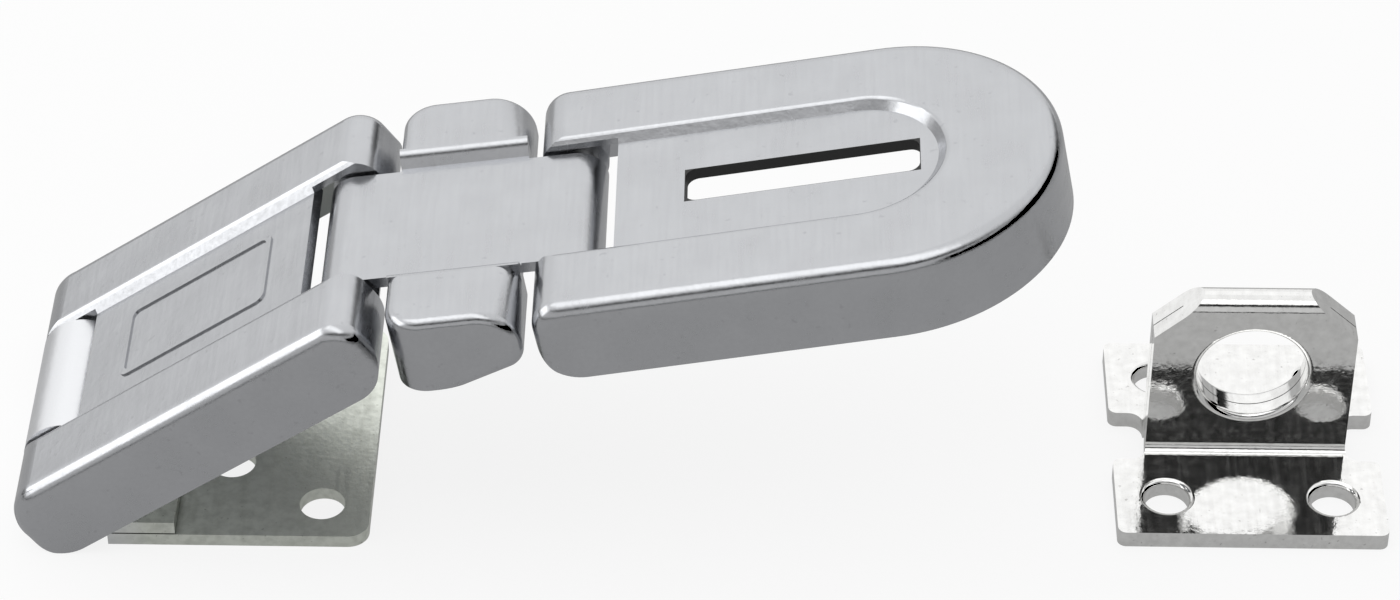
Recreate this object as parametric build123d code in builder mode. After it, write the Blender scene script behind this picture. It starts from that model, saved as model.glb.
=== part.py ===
from build123d import *
import os
from math import atan2, cos, degrees, radians, sin

# Double-jointed padlock hasp of pressed steel, with its folded staple.
# Millimetres, +Z up. X runs along the hasp from the fixed hinge towards the staple,
# Y runs along the hinge pins, and the mounting plate and the staple stand on Z = 0.
# The origin lies on that surface, straight below the axis of the fixed hinge.
# The leaves are modelled as they stand in use half open: the cover leaf lifted off
# the mounting plate, the link and the hasp leaf bent back until they are nearly level.

# Open pose, each angle measured up from the surface
cover_angle = 35.0
link_angle = 8.5
hasp_angle = 10.6

# Pressed leaves: rails, side flanges and the sunk panel between the rails
leaf_width = 47.5
leaf_wall = 1.7
leaf_end_radius = 5.9
leaf_crown_radius = 4.0
leaf_edge_radius = 2.2
panel_depth = 1.3
panel_width = 22.0
panel_slope_width = 1.4
panel_shoulder_radius = 1.2
throat_width = 23.2

# Hinges
plate_pin_diameter = 8.0
link_pin_diameter = 4.6
running_clearance = 0.05
held_clearance = 0.02
pin_end_clearance = 0.2
boss_wall = 1.6
boss_recess = 2.3
boss_setback = 0.3
bore_floor = 0.6

# Cover leaf
cover_length = 48.5
cover_end_overhang = 4.5
cover_panel_start = 5.7
cover_panel_gap = 4.5
frame_height = 0.25
frame_width = 0.8
frame_length = 25.0
frame_breadth = 14.0
frame_corner_radius = 1.5

# Link between the two leaves
link_length = 30.1
link_sheet = 1.6
strap_width = 22.2
curl_gap_angle = 50.0
dome_start = 6.3
dome_end_gap = 6.3
dome_height = 5.9
dome_drop = 5.5
dome_heel_rise = 2.7
dome_heel_length = 7.6
dome_heel_radius = 3.0
dome_inner_radius = 2.6
dome_outer_radius = 6.2
dome_edge_radius = 1.6
dome_corner_radius = 4.5
dome_crest_radius = 1.6
dome_step_width = 1.2

# Hasp leaf
hasp_length = 65.5
hasp_end_overhang = 4.7
hasp_panel_start = 6.2
hasp_panel_end = 49.2
slot_length = 31.2
slot_width = 6.6
slot_start = 15.5
slot_corner_radius = 1.6

# Mounting plate, folded from one sheet
plate_sheet = 1.9
plate_width = 43.4
plate_length = 41.5
plate_corner_radius = 2.8
plate_edge_clearance = 0.4
return_leg_end = 15.5
fold_gap = 0.2
knuckle_width = 22.2
plate_hole_diameter = 6.2
front_hole_x = 34.9
front_hole_spacing = 30.4
rear_hole_x = 22.0
rear_hole_spacing = 14.0

# Staple, folded from one strip
staple_x = 160.5
staple_sheet = 2.5
staple_height = 28.4
staple_width = 27.2
staple_ear_overhang = 4.55
staple_depth = 39.2
staple_ear_length = 14.9
staple_bend_radius = 1.2
staple_fold_gap = 0.15
staple_corner_width = 6.5
staple_corner_height = 6.0
staple_ear_radius = 1.2
staple_relief_radius = 2.0
eye_diameter = 14.7
eye_height = 15.9
eye_rim = 0.9
foot_hole_diameter = 6.0
foot_hole_rim = 0.75
foot_hole_spacing_x = 22.4
foot_hole_spacing_y = 24.6

half_width = leaf_width / 2
flange_inside = half_width - leaf_wall
rail_top = leaf_end_radius
panel_top = rail_top - panel_depth
panel_side = panel_width / 2
panel_rim_side = panel_side + panel_slope_width
throat_side = throat_width / 2
boss_start = throat_side + boss_recess
bore_end = half_width - bore_floor
pin_end = bore_end - pin_end_clearance

knuckle_bore = plate_pin_diameter / 2 + running_clearance
knuckle_radius = knuckle_bore + plate_sheet
hinge_height = knuckle_radius
curl_bore = link_pin_diameter / 2 + running_clearance
curl_radius = curl_bore + link_sheet


def along(point, angle, distance):
    """The point at a distance from another along a leaf that rises at an angle."""
    rise = radians(angle)
    return (point[0] + distance * cos(rise), 0, point[2] + distance * sin(rise))


plate_pin_at = (0, 0, hinge_height)
cover_pin_at = along(plate_pin_at, cover_angle, cover_length)
hasp_pin_at = along(cover_pin_at, link_angle, link_length)


def side_plane(pin_at, angle):
    """Side view of a leaf: local X runs along the leaf and local Y square to it."""
    rise = radians(angle)
    return Plane(origin=pin_at, x_dir=(cos(rise), 0, sin(rise)), z_dir=(0, -1, 0))


def plan_plane(pin_at, angle, height=0.0):
    """Plan view of a leaf, at a height above its pin axis."""
    rise = radians(angle)
    level = Plane(origin=pin_at, x_dir=(cos(rise), 0, sin(rise)), z_dir=(-sin(rise), 0, cos(rise)))
    return level.offset(height)


def end_plane(pin_at, angle, distance):
    """Section across a leaf at a distance from its pin: local X is Y, local Y is up."""
    rise = radians(angle)
    return Plane(
        origin=along(pin_at, angle, distance),
        x_dir=(0, 1, 0),
        z_dir=(cos(rise), 0, sin(rise)),
    )


def up_axis(pin_at, angle):
    """The direction square to a leaf, from its pin."""
    rise = radians(angle)
    return Axis(pin_at, (-sin(rise), 0, cos(rise)))


def cut_pin_seats(plane, distance, pin_diameter, boss_radius):
    """A boss inside each rail and the blind bore that holds one end of the pin in it."""
    for side in (-1, 1):
        boss_plane = plane.offset(side * boss_start)
        with BuildSketch(boss_plane) as boss:
            with Locations((distance, 0)):
                Circle(boss_radius)
        extrude(boss.sketch, amount=side * (flange_inside + 0.4 * leaf_wall - boss_start))
        with BuildSketch(boss_plane) as bore:
            with Locations((distance, 0)):
                Circle(pin_diameter / 2 + held_clearance)
        extrude(bore.sketch, amount=side * (bore_end - boss_start), mode=Mode.SUBTRACT)


def trough_outline(plane, floor_side, rim_side, floor, rim, shoulder_radius, whole=True):
    """Section of a trough with sloping sides that roll over into the faces beside it."""
    outer_side = rim_side + shoulder_radius
    with BuildSketch(plane) as outline:
        with BuildLine():
            Polyline(
                (0, floor),
                (floor_side, floor),
                (rim_side, rim),
                (outer_side, rim),
                (outer_side, rim + shoulder_radius),
                (0, rim + shoulder_radius),
                close=True,
            )
        make_face()
        fillet(vertices().sort_by(Axis.X)[-3], shoulder_radius)
        if whole:
            mirror(about=Plane.YZ)
    return outline.sketch


def cut_throat(plane, start, end):
    """The gap between the rails where a knuckle works."""
    with BuildSketch(plane) as throat:
        with Locations(((start + end) / 2, 0)):
            Rectangle(end - start, throat_width)
    extrude(throat.sketch, amount=4 * leaf_end_radius, both=True, mode=Mode.SUBTRACT)


# Mounting plate: base, knuckle rolled round the fixed pin, and the return leg that
# comes back from the knuckle and lies on the base
leg_bottom = plate_sheet + fold_gap
plate_start = leaf_end_radius + plate_edge_clearance
with BuildPart() as mounting_plate:
    with BuildSketch(side_plane(plate_pin_at, 0)):
        Circle(knuckle_radius)
        with Locations((plate_start / 2, -hinge_height + plate_sheet / 2)):
            Rectangle(plate_start, plate_sheet)
        with Locations((plate_start / 2, -hinge_height + leg_bottom + plate_sheet / 2)):
            Rectangle(plate_start, plate_sheet)
        Circle(knuckle_bore, mode=Mode.SUBTRACT)
    extrude(amount=knuckle_width / 2, both=True)
    with BuildSketch():
        with Locations(((plate_start + plate_length) / 2, 0)):
            Rectangle(plate_length - plate_start, plate_width)
        fillet(vertices().group_by(Axis.X)[-1], plate_corner_radius)
        with Locations((front_hole_x, 0)):
            with GridLocations(0, front_hole_spacing, 1, 2):
                Circle(plate_hole_diameter / 2, mode=Mode.SUBTRACT)
        with Locations((rear_hole_x, 0)):
            with GridLocations(0, rear_hole_spacing, 1, 2):
                Circle(plate_hole_diameter / 2, mode=Mode.SUBTRACT)
    extrude(amount=plate_sheet)
    with BuildSketch(Plane.XY.offset(leg_bottom)):
        with Locations(((plate_start + return_leg_end) / 2, 0)):
            Rectangle(return_leg_end - plate_start, plate_width)
    extrude(amount=plate_sheet)
mounting_plate.part.label = "mounting_plate"


# Cover leaf: a pressed shell, open below, that closes down over the mounting plate
cover_side = side_plane(plate_pin_at, cover_angle)
cover_plan = plan_plane(plate_pin_at, cover_angle)
cover_end = cover_length + cover_end_overhang
cover_round = cover_end - leaf_end_radius
cover_panel_end = cover_length - cover_panel_gap
cover_panel_length = cover_panel_end - cover_panel_start
cover_middle = (cover_end - leaf_end_radius) / 2
with BuildPart() as cover_leaf:
    with BuildSketch(cover_side):
        with Locations((cover_middle, -leaf_end_radius / 2)):
            Rectangle(cover_end + leaf_end_radius, 3 * leaf_end_radius)
        fillet(vertices().group_by(Axis.Y)[-1].sort_by(Axis.X)[0], leaf_end_radius)
        fillet(vertices().group_by(Axis.Y)[-1].sort_by(Axis.X)[-1], leaf_crown_radius)
    extrude(amount=half_width, both=True)
    flank_edges = cover_leaf.faces().filter_by(Axis.Y).edges()
    fillet(flank_edges.sort_by(up_axis(plate_pin_at, cover_angle))[2:], leaf_edge_radius)
    with BuildSketch(cover_side):
        with Locations((cover_middle, 0)):
            Rectangle(2 * cover_end, 3 * leaf_end_radius, align=(Align.CENTER, Align.MAX))
            SlotCenterToCenter(cover_round, 2 * leaf_end_radius, mode=Mode.SUBTRACT)
    extrude(amount=leaf_width, both=True, mode=Mode.SUBTRACT)
    with BuildSketch(cover_side):
        with Locations((cover_middle, 0)):
            SlotCenterToCenter(cover_round, 2 * (leaf_end_radius - leaf_wall))
        with Locations((cover_middle, -leaf_end_radius)):
            Rectangle(cover_round, 2 * leaf_end_radius)
    extrude(amount=flange_inside, both=True, mode=Mode.SUBTRACT)
    with BuildSketch(plan_plane(plate_pin_at, cover_angle, panel_top - leaf_wall)):
        with Locations((cover_panel_start + cover_panel_length / 2, 0)):
            Rectangle(cover_panel_length, 2 * (panel_rim_side + leaf_wall / 2))
    extrude(amount=leaf_wall)
    cover_trough = trough_outline(
        end_plane(plate_pin_at, cover_angle, -2 * leaf_end_radius),
        panel_side,
        panel_rim_side,
        panel_top,
        rail_top,
        panel_shoulder_radius,
    )
    extrude(cover_trough, amount=cover_end + 4 * leaf_end_radius, mode=Mode.SUBTRACT)
    cut_throat(cover_plan, -2 * leaf_end_radius, cover_panel_start)
    cut_throat(cover_plan, cover_panel_end, cover_end + leaf_end_radius)
    cut_pin_seats(cover_side, 0, plate_pin_diameter, leaf_end_radius - boss_setback)
    cut_pin_seats(cover_side, cover_length, link_pin_diameter, link_pin_diameter / 2 + boss_wall)
    with BuildSketch(plan_plane(plate_pin_at, cover_angle, panel_top)):
        with Locations((cover_panel_start + cover_panel_length / 2, 0)):
            RectangleRounded(frame_length, frame_breadth, frame_corner_radius)
            RectangleRounded(
                frame_length - 2 * frame_width,
                frame_breadth - 2 * frame_width,
                frame_corner_radius - frame_width / 2,
                mode=Mode.SUBTRACT,
            )
    extrude(amount=frame_height)
cover_leaf.part.label = "cover_leaf"


def dome_outline(y, corner_radius, inset=0.0, below=0.0):
    """Side outline of a link dome, drawn at a distance from the middle of the link."""
    start = dome_start + inset
    end = link_length - dome_end_gap - inset
    top = dome_height - inset
    heel = -dome_drop + dome_heel_rise
    with BuildSketch(link_side.offset(y)) as outline:
        with BuildLine():
            Polyline(
                (start, top),
                (end, top),
                (end, heel - below),
                (end - dome_heel_length, -dome_drop - below),
                (start, -dome_drop - below),
                close=True,
            )
        make_face()
        fillet(vertices().sort_by(Axis.Y)[2], dome_heel_radius)
        fillet(vertices().group_by(Axis.Y)[-1].sort_by(Axis.X)[-1], corner_radius - inset)
    return outline.sketch


# Link: a strap rolled round both link pins, with a hollow dome pressed out on each side
link_side = side_plane(cover_pin_at, link_angle)
dome_end = link_length - dome_end_gap
dome_middle = (dome_start + dome_end) / 2
dome_crest_side = throat_side + dome_step_width
link_up = up_axis(cover_pin_at, link_angle)
link_along = Axis(cover_pin_at, link_side.x_dir)
with BuildPart() as link:
    for side in (-1, 1):
        loft(
            [
                dome_outline(side * throat_side, dome_inner_radius),
                dome_outline(side * half_width, dome_outer_radius),
            ],
            ruled=True,
        )
    dome_sides = link.faces().filter_by(Axis.Y).filter_by(lambda face: abs(face.center().Y) > flange_inside)
    fillet(dome_sides.edges().filter_by(link_up).sort_by(link_along)[:2], dome_corner_radius)
    dome_tops = link.faces().filter_by(link_up).sort_by(link_up)[-2:]
    dome_sides = link.faces().filter_by(Axis.Y).filter_by(lambda face: abs(face.center().Y) > flange_inside)
    round_ends = dome_sides.edges().filter_by(GeomType.CIRCLE)
    crests = dome_tops.edges().filter_by(lambda edge: edge.center().Y ** 2 > throat_side**2 + 0.1)
    crests = crests.filter_by(lambda edge: edge.length > dome_corner_radius)
    fillet(crests.sort_by(link_along)[:-2] + round_ends, dome_edge_radius)
    for side in (-1, 1):
        loft(
            [
                dome_outline(side * throat_side, dome_inner_radius, link_sheet, dome_drop),
                dome_outline(side * flange_inside, dome_outer_radius, link_sheet, dome_drop),
            ],
            ruled=True,
            mode=Mode.SUBTRACT,
        )
    with BuildSketch(end_plane(cover_pin_at, link_angle, dome_start)):
        with Locations((0, (curl_bore + dome_height) / 2)):
            Rectangle(2 * (dome_crest_side + link_sheet / 2), dome_height - curl_bore)
    extrude(amount=dome_end - dome_start)
    dome_trough = trough_outline(
        end_plane(cover_pin_at, link_angle, 0),
        throat_side,
        dome_crest_side,
        curl_radius,
        dome_height,
        dome_crest_radius,
    )
    extrude(dome_trough, amount=link_length, mode=Mode.SUBTRACT)
    with BuildSketch(link_side):
        with Locations((0, 0), (link_length, 0)):
            Circle(curl_radius)
            Circle(curl_bore, mode=Mode.SUBTRACT)
        with Locations((link_length / 2, 0)):
            Trapezoid(
                link_length,
                2 * curl_radius * sin(radians(curl_gap_angle)),
                curl_gap_angle,
                align=(Align.CENTER, Align.MIN),
                mode=Mode.SUBTRACT,
            )
        with Locations((link_length / 2, curl_bore + link_sheet / 2)):
            Rectangle(link_length, link_sheet)
    extrude(amount=strap_width / 2, both=True)
link.part.label = "link"


# Hasp leaf: the same pressed section, with a round tip and the slot for the staple
hasp_side = side_plane(hasp_pin_at, hasp_angle)
hasp_plan = plan_plane(hasp_pin_at, hasp_angle)
tip_centre = hasp_length - half_width
hasp_round = leaf_end_radius - hasp_end_overhang
hasp_up = up_axis(hasp_pin_at, hasp_angle)
with BuildPart() as hasp_hollow:
    with BuildSketch(hasp_side):
        with Locations((hasp_length / 2 + hasp_round, 0)):
            SlotCenterToCenter(hasp_length, 2 * (leaf_end_radius - leaf_wall))
        with Locations((hasp_length / 2 + hasp_round, -leaf_end_radius)):
            Rectangle(hasp_length, 2 * leaf_end_radius)
    extrude(amount=flange_inside, both=True)
    with BuildSketch(hasp_plan):
        Circle(2 * leaf_end_radius)
        with Locations((tip_centre / 2, 0)):
            Rectangle(tip_centre + 4 * leaf_end_radius, 2 * flange_inside)
        with Locations((tip_centre, 0)):
            Circle(flange_inside)
            Rectangle(leaf_width, leaf_width, align=(Align.MIN, Align.CENTER), mode=Mode.SUBTRACT)
            Circle(flange_inside)
    extrude(amount=4 * leaf_end_radius, both=True, mode=Mode.INTERSECT)

with BuildPart() as hasp_leaf:
    with BuildSketch(hasp_side):
        with Locations((-hasp_end_overhang, rail_top)):
            Rectangle(2 * hasp_length, 3 * leaf_end_radius, align=(Align.MIN, Align.MAX))
        fillet(vertices().group_by(Axis.Y)[-1].sort_by(Axis.X)[0], leaf_crown_radius)
    extrude(amount=half_width, both=True)
    with BuildSketch(hasp_plan):
        with Locations((tip_centre, 0)):
            Rectangle(tip_centre + 2 * leaf_end_radius, leaf_width, align=(Align.MAX, Align.CENTER))
            Circle(half_width)
    extrude(amount=4 * leaf_end_radius, both=True, mode=Mode.INTERSECT)
    round_edges = hasp_leaf.faces().filter_by(Axis.Y).edges().sort_by(hasp_up)[2:]
    round_edges = round_edges + hasp_leaf.edges().filter_by(GeomType.CIRCLE).sort_by(hasp_up)[-1:]
    fillet(round_edges.filter_by(lambda edge: edge.length < hasp_length), leaf_edge_radius)
    with BuildSketch(hasp_side):
        with Locations((hasp_length / 2, 0)):
            Rectangle(2 * hasp_length, 3 * leaf_end_radius, align=(Align.CENTER, Align.MAX))
        with Locations((hasp_length + hasp_round, 0)):
            SlotCenterToCenter(2 * hasp_length, 2 * leaf_end_radius, mode=Mode.SUBTRACT)
    extrude(amount=leaf_width, both=True, mode=Mode.SUBTRACT)
    add(hasp_hollow.part, mode=Mode.SUBTRACT)
    with BuildSketch(plan_plane(hasp_pin_at, hasp_angle, panel_top - leaf_wall)):
        with Locations((tip_centre, 0)):
            Circle(flange_inside + leaf_wall / 2)
        with Locations((hasp_panel_start, 0)):
            Rectangle(
                tip_centre - hasp_panel_start,
                2 * (panel_rim_side + leaf_wall / 2),
                align=(Align.MIN, Align.CENTER),
            )
        with Locations((hasp_panel_end - panel_side, 0)):
            Circle(panel_rim_side + leaf_wall / 2)
            Rectangle(leaf_width, leaf_width, align=(Align.MIN, Align.CENTER), mode=Mode.SUBTRACT)
            Circle(panel_rim_side + leaf_wall / 2)
    extrude(amount=leaf_wall)
    panel_centre = hasp_panel_end - panel_side
    hasp_trough = trough_outline(
        end_plane(hasp_pin_at, hasp_angle, panel_centre),
        panel_side,
        panel_rim_side,
        panel_top,
        rail_top,
        panel_shoulder_radius,
    )
    extrude(hasp_trough, amount=-hasp_length, mode=Mode.SUBTRACT)
    half_trough = trough_outline(
        end_plane(hasp_pin_at, hasp_angle, panel_centre),
        panel_side,
        panel_rim_side,
        panel_top,
        rail_top,
        panel_shoulder_radius,
        whole=False,
    )
    round_end = Axis(along(hasp_pin_at, hasp_angle, panel_centre), hasp_up.direction)
    revolve(half_trough, axis=round_end, mode=Mode.SUBTRACT)
    cut_throat(hasp_plan, -2 * leaf_end_radius, hasp_panel_start)
    with BuildSketch(hasp_plan):
        with Locations((slot_start + slot_length / 2, 0)):
            RectangleRounded(slot_length, slot_width, slot_corner_radius)
    extrude(amount=2 * leaf_end_radius, mode=Mode.SUBTRACT)
    cut_pin_seats(hasp_side, 0, link_pin_diameter, link_pin_diameter / 2 + boss_wall)
hasp_leaf.part.label = "hasp_leaf"


# Hinge pins, each held at both ends in the rails of a leaf
with BuildPart() as plate_pin:
    with BuildSketch(side_plane(plate_pin_at, 0)):
        Circle(plate_pin_diameter / 2)
    extrude(amount=pin_end, both=True)
plate_pin.part.label = "plate_pin"

with BuildPart() as cover_pin:
    with BuildSketch(side_plane(cover_pin_at, 0)):
        Circle(link_pin_diameter / 2)
    extrude(amount=pin_end, both=True)
cover_pin.part.label = "cover_pin"

with BuildPart() as hasp_pin:
    with BuildSketch(side_plane(hasp_pin_at, 0)):
        Circle(link_pin_diameter / 2)
    extrude(amount=pin_end, both=True)
hasp_pin.part.label = "hasp_pin"


# Staple: one strip folded double at the top, with its two feet turned outwards
staple_foot_width = staple_width + 2 * staple_ear_overhang
fold_inside = staple_fold_gap / 2
fold_outside = fold_inside + staple_sheet
bend_outside = staple_bend_radius + staple_sheet
bend_centre = fold_outside + staple_bend_radius
fold_centre = staple_height - fold_outside
staple_section = Plane(origin=(staple_x, 0, 0), x_dir=(0, 1, 0), z_dir=(1, 0, 0))
staple_front = Plane(origin=(staple_x, 0, 0), x_dir=(1, 0, 0), z_dir=(0, -1, 0))
with BuildPart() as staple:
    with BuildSketch(staple_section) as strip:
        with Locations((bend_centre, 0)):
            Rectangle(staple_depth / 2 - bend_centre, staple_sheet, align=(Align.MIN, Align.MIN))
        with Locations((fold_inside, bend_outside)):
            Rectangle(staple_sheet, fold_centre - bend_outside, align=(Align.MIN, Align.MIN))
        with BuildLine():
            CenterArc((bend_centre, bend_outside), bend_outside, 180, 90)
            Line((bend_centre, 0), (bend_centre, staple_sheet))
            CenterArc((bend_centre, bend_outside), staple_bend_radius, 270, -90)
            Line((fold_outside, bend_outside), (fold_inside, bend_outside))
        make_face()
        with BuildLine():
            CenterArc((0, fold_centre), fold_outside, 0, 90)
            Line((0, staple_height), (0, fold_centre + fold_inside))
            CenterArc((0, fold_centre), fold_inside, 90, -90)
            Line((fold_inside, fold_centre), (fold_outside, fold_centre))
        make_face()
        mirror(about=Plane.YZ)
    extrude(amount=staple_foot_width / 2, both=True)
    with BuildSketch(Plane.XY):
        with Locations((staple_x, 0)):
            with GridLocations(0, staple_depth - staple_ear_length, 1, 2):
                RectangleRounded(staple_foot_width, staple_ear_length, staple_ear_radius)
            Rectangle(staple_width, staple_depth - 2 * staple_ear_radius)
        waist = vertices().filter_by(lambda v: abs(v.X - staple_x) < staple_width / 2 + 0.01)
        waist_corners = waist.filter_by(lambda v: abs(v.Y) < staple_depth / 2 - staple_ear_length + 0.01)
        fillet(waist_corners, staple_relief_radius)
    extrude(amount=staple_height, mode=Mode.INTERSECT)
    with BuildSketch(staple_front):
        with BuildLine():
            Polyline(
                (staple_foot_width, 0),
                (staple_foot_width, staple_height - staple_corner_height - staple_corner_width),
                (staple_width / 2, staple_height - staple_corner_height),
                (staple_width / 2 - staple_corner_width, staple_height),
                (0, staple_height),
                (0, 0),
                close=True,
            )
        make_face()
        mirror(about=Plane.YZ)
    extrude(amount=staple_depth, both=True, mode=Mode.INTERSECT)
    with BuildSketch(staple_front):
        with Locations((0, eye_height)):
            Circle(eye_diameter / 2)
    extrude(amount=2 * fold_outside, both=True, mode=Mode.SUBTRACT)
    eye_edges = staple.faces().filter_by(Axis.Y).edges().filter_by(GeomType.CIRCLE).sort_by(Axis.Y)
    fillet([eye_edges[0], eye_edges[-1]], eye_rim)
    with BuildSketch(Plane.XY.offset(staple_sheet)):
        with Locations((staple_x, 0)):
            with GridLocations(foot_hole_spacing_x, foot_hole_spacing_y, 2, 2):
                Circle(foot_hole_diameter / 2)
    extrude(amount=-2 * staple_sheet, mode=Mode.SUBTRACT)
    upper_rims = staple.edges().filter_by(GeomType.CIRCLE).filter_by(
        lambda edge: abs(edge.radius - foot_hole_diameter / 2) < 0.01
        and abs(edge.center().Z - staple_sheet) < 0.01
    )
    fillet(upper_rims, foot_hole_rim)
staple.part.label = "staple"

os.makedirs("parts", exist_ok=True)
finished = [mounting_plate, cover_leaf, link, hasp_leaf, plate_pin, cover_pin, hasp_pin, staple]
for piece in finished:
    export_step(piece.part, f"parts/{piece.part.label}.step")
    print(piece.part.label, len(piece.part.solids()), round(piece.part.volume, 1))
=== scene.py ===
import bpy
import math
from mathutils import Matrix, Vector

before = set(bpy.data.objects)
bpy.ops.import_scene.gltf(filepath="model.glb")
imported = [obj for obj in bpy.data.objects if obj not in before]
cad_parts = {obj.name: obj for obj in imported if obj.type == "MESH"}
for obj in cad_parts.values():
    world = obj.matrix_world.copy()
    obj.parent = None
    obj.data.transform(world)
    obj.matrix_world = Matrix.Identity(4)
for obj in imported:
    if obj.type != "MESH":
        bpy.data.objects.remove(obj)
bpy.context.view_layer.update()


# Leaves and link: pressed steel sheet with a satin zinc plate. The sheet has a faint
# grain across the hasp, soft clouding from the bath and a few small pits. Creases and
# gaps between parts get painted shade, an occlusion darkening of the colour.
def zinc(name, colour, dark, roughness, grain, cloud, pits, relief=0.10):
    """Zinc plate. grain, cloud and pits are (density per metre, strength) pairs."""
    noise_low, noise_high = 0.3, 0.7
    pit_edge, pit_floor = 0.68, 0.74
    # Painted shade: how far the occlusion darkening reaches into creases and gaps, and how
    # strong it is.
    occlusion_shade_reach = 0.0025
    occlusion_shade_shut, occlusion_shade_open = 0.35, 0.80
    occlusion_shade_strength = 0.35
    dark_share = 0.12
    grain_in_roughness, cloud_in_roughness = 0.04, 0.03
    relief_depth = 0.0002

    made = bpy.data.materials.new(name)
    made.use_nodes = True
    tree = made.node_tree
    shader = tree.nodes["Principled BSDF"]
    shader.inputs["Metallic"].default_value = 1.0
    place = tree.nodes.new("ShaderNodeTexCoord")

    def noise(density, detail, stretch=(1.0, 1.0, 1.0)):
        mapping = tree.nodes.new("ShaderNodeMapping")
        mapping.inputs["Scale"].default_value = stretch
        texture = tree.nodes.new("ShaderNodeTexNoise")
        texture.inputs["Scale"].default_value = density
        texture.inputs["Detail"].default_value = detail
        tree.links.new(place.outputs["Object"], mapping.inputs["Vector"])
        tree.links.new(mapping.outputs["Vector"], texture.inputs["Vector"])
        return texture.outputs["Fac"]

    def to_range(value, low, high, out_low, out_high):
        ranged = tree.nodes.new("ShaderNodeMapRange")
        ranged.inputs["From Min"].default_value = low
        ranged.inputs["From Max"].default_value = high
        ranged.inputs["To Min"].default_value = out_low
        ranged.inputs["To Max"].default_value = out_high
        tree.links.new(value, ranged.inputs["Value"])
        return ranged.outputs["Result"]

    def spread(value, strength, middle=0.0):
        """The noise's usual values, as the middle plus or minus the strength."""
        return to_range(value, noise_low, noise_high, middle - strength, middle + strength)

    def total(*values):
        so_far = values[0]
        for value in values[1:]:
            node = tree.nodes.new("ShaderNodeMath")
            node.operation = "ADD"
            tree.links.new(so_far, node.inputs[0])
            if isinstance(value, float):
                node.inputs[1].default_value = value
            else:
                tree.links.new(value, node.inputs[1])
            so_far = node.outputs["Value"]
        return so_far

    grain_value = noise(grain[0], detail=3.0, stretch=(1.0, 0.06, 1.0))
    cloud_value = noise(cloud[0], detail=4.0)
    pit_value = noise(pits[0], detail=2.0)
    # Painted shade: ambient occlusion darkens the colour in creases, recesses and gaps
    # between parts.
    occlusion_shade = tree.nodes.new("ShaderNodeAmbientOcclusion")
    occlusion_shade.samples = 8
    occlusion_shade.only_local = True
    occlusion_shade.inputs["Distance"].default_value = occlusion_shade_reach
    tone_and_painted_shade = total(
        spread(cloud_value, cloud[1]),
        spread(grain_value, grain[1]),
        to_range(pit_value, pit_edge, pit_floor, 0.0, pits[1]),
        to_range(occlusion_shade.outputs["AO"], occlusion_shade_shut, occlusion_shade_open, occlusion_shade_strength, 0.0),
        dark_share,
    )
    mix = tree.nodes.new("ShaderNodeMix")
    mix.data_type = "RGBA"
    mix.inputs["A"].default_value = (*colour, 1.0)
    mix.inputs["B"].default_value = (*dark, 1.0)
    tree.links.new(tone_and_painted_shade, mix.inputs["Factor"])
    tree.links.new(mix.outputs["Result"], shader.inputs["Base Color"])
    rough = total(
        spread(grain_value, grain_in_roughness, roughness),
        spread(cloud_value, cloud_in_roughness),
    )
    tree.links.new(rough, shader.inputs["Roughness"])
    bump = tree.nodes.new("ShaderNodeBump")
    bump.inputs["Strength"].default_value = relief
    bump.inputs["Distance"].default_value = relief_depth
    tree.links.new(total(pit_value, cloud_value), bump.inputs["Height"])
    tree.links.new(bump.outputs["Normal"], shader.inputs["Normal"])
    return made


def dress(nodes, material):
    for node in nodes:
        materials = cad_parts[node].data.materials
        materials.clear()
        materials.append(material)


leaf_zinc = zinc(
    "leaf_zinc",
    colour=(0.57, 0.58, 0.60),
    dark=(0.26, 0.26, 0.27),
    roughness=0.23,
    grain=(1500.0, 0.018),
    cloud=(160.0, 0.04),
    pits=(900.0, 0.15),
)
dress(("cover_leaf", "link"), leaf_zinc)


# Hasp leaf: the same pressed and plated sheet. The slot is punched last, so its walls
# are rough sheared steel; their near-black colour is painted shade, the shadow inside the
# slot.
def painted_shade_in_box(material, place, box, colour, roughness):
    """Painted shade: the given dark colour, with its own roughness, wherever the place, a
    vector, lies inside the box.
    """
    tree = material.node_tree
    shader = tree.nodes["Principled BSDF"]
    axes = tree.nodes.new("ShaderNodeSeparateXYZ")
    tree.links.new(place, axes.inputs["Vector"])
    tests = []
    for axis, (low, high) in zip("XYZ", box):
        for operation, limit in (("GREATER_THAN", low), ("LESS_THAN", high)):
            test = tree.nodes.new("ShaderNodeMath")
            test.operation = operation
            test.inputs[1].default_value = limit
            tree.links.new(axes.outputs[axis], test.inputs[0])
            tests.append(test.outputs["Value"])
    inside = tests[0]
    for test in tests[1:]:
        both = tree.nodes.new("ShaderNodeMath")
        both.operation = "MULTIPLY"
        tree.links.new(inside, both.inputs[0])
        tree.links.new(test, both.inputs[1])
        inside = both.outputs["Value"]
    # Painted shade: the colour inside the box is mixed to the given dark colour.
    painted_shade_mix = tree.nodes.new("ShaderNodeMix")
    painted_shade_mix.data_type = "RGBA"
    painted_shade_mix.inputs["B"].default_value = (*colour, 1.0)
    rough = tree.nodes.new("ShaderNodeMix")
    rough.inputs["B"].default_value = roughness
    for mix, socket in ((painted_shade_mix, "Base Color"), (rough, "Roughness")):
        plated = shader.inputs[socket].links[0].from_socket
        tree.links.new(inside, mix.inputs["Factor"])
        tree.links.new(plated, mix.inputs["A"])
        tree.links.new(mix.outputs["Result"], shader.inputs[socket])


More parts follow.
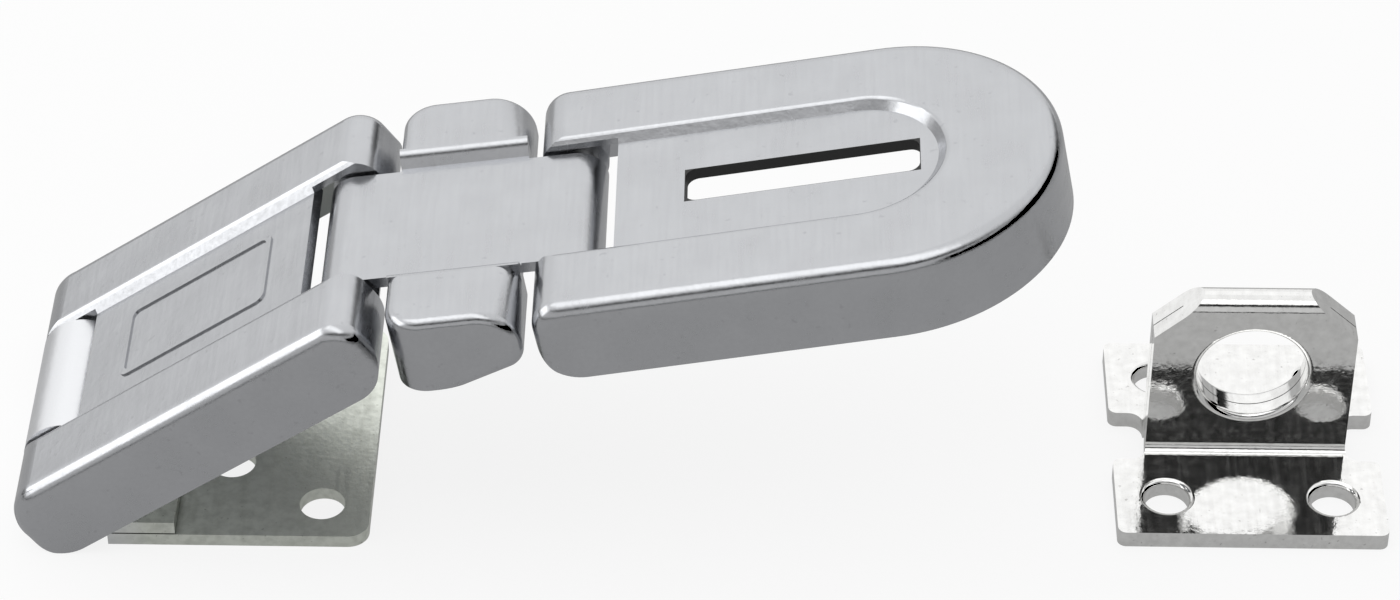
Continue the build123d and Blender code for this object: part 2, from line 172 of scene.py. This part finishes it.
hasp_pin_place = (0.069498, 0.0, 0.038218)
hasp_rise = math.radians(10.6)
slot_along = (0.0154, 0.0468)
slot_across = (-0.00335, 0.00335)
slot_up = (0.0, 0.006)
hasp_zinc = leaf_zinc.copy()
hasp_zinc.name = "hasp_zinc"
hasp_tree = hasp_zinc.node_tree
hasp_place = hasp_tree.nodes.new("ShaderNodeTexCoord")
hasp_lie = hasp_tree.nodes.new("ShaderNodeMapping")
hasp_lie.vector_type = "TEXTURE"
hasp_lie.inputs["Location"].default_value = hasp_pin_place
hasp_lie.inputs["Rotation"].default_value = (0.0, -hasp_rise, 0.0)
hasp_tree.links.new(hasp_place.outputs["Object"], hasp_lie.inputs["Vector"])
# Painted shade on the slot walls: a near-black colour stands in for the shadow inside the
# slot; the higher roughness is the rough sheared steel.
painted_shade_in_box(
    hasp_zinc,
    hasp_lie.outputs["Vector"],
    box=(slot_along, slot_across, slot_up),
    colour=(0.07, 0.07, 0.07),
    roughness=0.55,
)
dress(("hasp_leaf",), hasp_zinc)


# Hinge pins: plain drawn steel, seen only as short dark lengths beside the knuckles.
pin_steel = zinc(
    "pin_steel",
    colour=(0.62, 0.62, 0.62),
    dark=(0.30, 0.29, 0.28),
    roughness=0.34,
    grain=(1400.0, 0.05),
    cloud=(150.0, 0.05),
    pits=(700.0, 0.2),
)
dress(("plate_pin", "cover_pin", "hasp_pin"), pin_steel)


# Mounting plate: the same sheet with a dull mottled plate. Its knuckle is rubbed as
# bright as the leaves that turn on it.
plate_zinc = zinc(
    "plate_zinc",
    colour=(0.82, 0.85, 0.78),
    dark=(0.34, 0.36, 0.31),
    roughness=0.34,
    grain=(1400.0, 0.06),
    cloud=(750.0, 0.20),
    pits=(1600.0, 0.4),
)
rubbed_end = 0.005
dull_start = 0.012
rubbed_colour = (0.84, 0.85, 0.87, 1.0)
plate_tree = plate_zinc.node_tree
plate_shader = plate_tree.nodes["Principled BSDF"]
mottled = plate_shader.inputs["Base Color"].links[0].from_socket
plate_place = plate_tree.nodes.new("ShaderNodeTexCoord")
plate_axes = plate_tree.nodes.new("ShaderNodeSeparateXYZ")
rubbed_to_dull = plate_tree.nodes.new("ShaderNodeMapRange")
rubbed_to_dull.inputs["From Min"].default_value = rubbed_end
rubbed_to_dull.inputs["From Max"].default_value = dull_start
plate_colour = plate_tree.nodes.new("ShaderNodeMix")
plate_colour.data_type = "RGBA"
plate_colour.inputs["A"].default_value = rubbed_colour
plate_tree.links.new(plate_place.outputs["Object"], plate_axes.inputs["Vector"])
plate_tree.links.new(plate_axes.outputs["X"], rubbed_to_dull.inputs["Value"])
plate_tree.links.new(rubbed_to_dull.outputs["Result"], plate_colour.inputs["Factor"])
plate_tree.links.new(mottled, plate_colour.inputs["B"])
plate_tree.links.new(plate_colour.outputs["Result"], plate_shader.inputs["Base Color"])
dress(("mounting_plate",), plate_zinc)


# Staple: hardened strip with a bright zinc plate over a slightly pebbled surface.
staple_zinc = zinc(
    "staple_zinc",
    colour=(0.92, 0.92, 0.91),
    dark=(0.30, 0.29, 0.28),
    roughness=0.09,
    grain=(1500.0, 0.04),
    cloud=(700.0, 0.08),
    pits=(1500.0, 0.35),
    relief=0.06,
)
dress(("staple",), staple_zinc)


# Floor: a plain pale sheet that keeps the object's soft shadow. The camera sees it white,
# and the metal mirrors it at under half of that.
white_share = 0.85
mirrored_share = 0.41
bpy.ops.mesh.primitive_plane_add(size=6.0, location=(0.09, 0.0, 0.0))
floor = bpy.context.object
floor.name = "floor"
floor_material = bpy.data.materials.new("floor")
floor_material.use_nodes = True
floor_tree = floor_material.node_tree
floor_tree.nodes.clear()
floor_out = floor_tree.nodes.new("ShaderNodeOutputMaterial")
floor_rays = floor_tree.nodes.new("ShaderNodeLightPath")
floor_pale = floor_tree.nodes.new("ShaderNodeBsdfDiffuse")
floor_pale.inputs["Color"].default_value = (0.9, 0.9, 0.9, 1.0)
floor_glow = floor_tree.nodes.new("ShaderNodeEmission")
floor_glow.inputs["Color"].default_value = (1.0, 1.0, 1.0, 1.0)
floor_glow.inputs["Strength"].default_value = 1.0
floor_card = floor_tree.nodes.new("ShaderNodeBsdfDiffuse")
floor_card.inputs["Color"].default_value = (0.12, 0.12, 0.118, 1.0)
floor_white = floor_tree.nodes.new("ShaderNodeMixShader")
floor_white.inputs["Fac"].default_value = white_share
floor_mix = floor_tree.nodes.new("ShaderNodeMixShader")
floor_tree.links.new(floor_pale.outputs["BSDF"], floor_white.inputs[1])
floor_tree.links.new(floor_glow.outputs["Emission"], floor_white.inputs[2])
floor_seen = floor_tree.nodes.new("ShaderNodeMath")
floor_seen.operation = "ADD"
floor_tree.links.new(floor_rays.outputs["Is Camera Ray"], floor_seen.inputs[0])
floor_tree.links.new(floor_rays.outputs["Is Transmission Ray"], floor_seen.inputs[1])
floor_mirrored = floor_tree.nodes.new("ShaderNodeMath")
floor_mirrored.operation = "MULTIPLY_ADD"
floor_mirrored.inputs[1].default_value = mirrored_share
floor_tree.links.new(floor_rays.outputs["Is Glossy Ray"], floor_mirrored.inputs[0])
floor_tree.links.new(floor_seen.outputs["Value"], floor_mirrored.inputs[2])
floor_tree.links.new(floor_mirrored.outputs["Value"], floor_mix.inputs["Fac"])
floor_tree.links.new(floor_card.outputs["BSDF"], floor_mix.inputs[1])
floor_tree.links.new(floor_white.outputs["Shader"], floor_mix.inputs[2])
floor_tree.links.new(floor_mix.outputs["Shader"], floor_out.inputs["Surface"])
floor.data.materials.append(floor_material)


# Light: a pale sky that is bright overhead and behind, with the grey walls of the room
# low in front and a dark strip at the right. One large soft lamp is above, one behind
# and a smaller one at the left.
sky_aim = (-0.05, 0.45, 0.75)
sky_levels = ((0.25, 0.025), (0.36, 0.55), (0.45, 0.97))
world = bpy.data.worlds.new("studio")
bpy.context.scene.world = world
world.use_nodes = True
world_tree = world.node_tree
world_tree.nodes.clear()
world_out = world_tree.nodes.new("ShaderNodeOutputWorld")
world_glow = world_tree.nodes.new("ShaderNodeBackground")
world_place = world_tree.nodes.new("ShaderNodeTexCoord")
world_height = world_tree.nodes.new("ShaderNodeVectorMath")
world_height.operation = "DOT_PRODUCT"
world_height.inputs[1].default_value = sky_aim
world_ramp = world_tree.nodes.new("ShaderNodeValToRGB")
world_stops = world_ramp.color_ramp.elements
world_stops[0].color = (0.01, 0.01, 0.01, 1.0)
world_stops[1].color = (1.0, 1.0, 1.0, 1.0)
for position, level in sky_levels:
    world_stops.new(position).color = (level, level, level, 1.0)
world_tree.links.new(world_place.outputs["Generated"], world_height.inputs[0])
world_tree.links.new(world_height.outputs["Value"], world_ramp.inputs["Fac"])
world_axes = world_tree.nodes.new("ShaderNodeSeparateXYZ")
world_tree.links.new(world_place.outputs["Generated"], world_axes.inputs["Vector"])


def sky_edge(axis, none, full, most=1.0):
    """A soft edge in the sky: nothing at one reach of the axis, its most at the other."""
    edge = world_tree.nodes.new("ShaderNodeMapRange")
    edge.inputs["From Min"].default_value = none
    edge.inputs["From Max"].default_value = full
    edge.inputs["To Max"].default_value = most
    world_tree.links.new(world_axes.outputs[axis], edge.inputs["Value"])
    return edge.outputs["Result"]


def sky_maths(kind, *values):
    node = world_tree.nodes.new("ShaderNodeMath")
    node.operation = kind
    for socket, value in zip(node.inputs, values):
        world_tree.links.new(value, socket)
    return node.outputs["Value"]


room_band = sky_maths(
    "MULTIPLY",
    sky_edge("Z", none=0.62, full=0.54),
    sky_edge("Z", none=0.03, full=0.12),
)
room_and_sky = sky_maths(
    "MULTIPLY_ADD",
    room_band,
    sky_edge("Y", none=0.05, full=-0.30, most=0.62),
    world_ramp.outputs["Color"],
)
strip_band = sky_maths(
    "MULTIPLY",
    sky_edge("Z", none=0.44, full=0.36),
    sky_edge("Z", none=0.10, full=0.17),
)
world_level = sky_maths(
    "MULTIPLY_ADD",
    strip_band,
    sky_edge("X", none=0.34, full=0.50, most=-0.95),
    room_and_sky,
)
world_tree.links.new(world_level, world_glow.inputs["Color"])
world_tree.links.new(world_glow.outputs["Background"], world_out.inputs["Surface"])


def soft_lamp(name, place, aim, width, height, power):
    lamp = bpy.data.lights.new(name, "AREA")
    lamp.shape = "RECTANGLE"
    lamp.size, lamp.size_y, lamp.energy = width, height, power
    holder = bpy.data.objects.new(name, lamp)
    holder.location = place
    towards = Vector(aim) - Vector(place)
    holder.rotation_euler = towards.to_track_quat("-Z", "Y").to_euler()
    bpy.context.scene.collection.objects.link(holder)


object_middle = (0.09, 0.0, 0.02)
cover_middle = (0.05, 0.0, 0.02)
soft_lamp("lamp_back", (0.05, 0.75, 0.85), object_middle, width=1.3, height=0.7, power=0.3)
soft_lamp("lamp_top", (-0.10, -0.20, 1.1), object_middle, width=1.5, height=0.5, power=1.8)
soft_lamp("lamp_left", (-0.85, -0.05, 0.45), cover_middle, width=0.8, height=0.5, power=1.8)


# Camera: the photograph's viewpoint, framed a little wider to take in the staple.
camera_place = Vector((0.09255, -0.46162, 0.41256))
camera_yaw = math.radians(-2.336)
camera_dip = math.radians(39.935)
camera_roll = math.radians(-0.8625)
sensor_width = 36.0
photo_width = 1400.0
photo_focal = 5234.2
frame_scale = 0.855
frame_shift = 105.5
ahead = Vector(
    (
        math.sin(camera_yaw) * math.cos(camera_dip),
        math.cos(camera_yaw) * math.cos(camera_dip),
        -math.sin(camera_dip),
    )
)
level_right = Vector((math.cos(camera_yaw), -math.sin(camera_yaw), 0.0))
level_up = level_right.cross(ahead)
right = math.cos(camera_roll) * level_right + math.sin(camera_roll) * level_up
up = -math.sin(camera_roll) * level_right + math.cos(camera_roll) * level_up
camera_data = bpy.data.cameras.new("camera")
camera_data.sensor_width = sensor_width
camera_data.lens = sensor_width * photo_focal * frame_scale / photo_width
camera_data.shift_x = frame_shift * frame_scale / photo_width
camera_data.clip_start = 0.05
camera = bpy.data.objects.new("camera", camera_data)
turn = Matrix((right, up, -ahead)).transposed().to_4x4()
camera.matrix_world = Matrix.Translation(camera_place) @ turn
bpy.context.scene.collection.objects.link(camera)
bpy.context.scene.camera = camera
bpy.context.scene.view_settings.view_transform = "Standard"
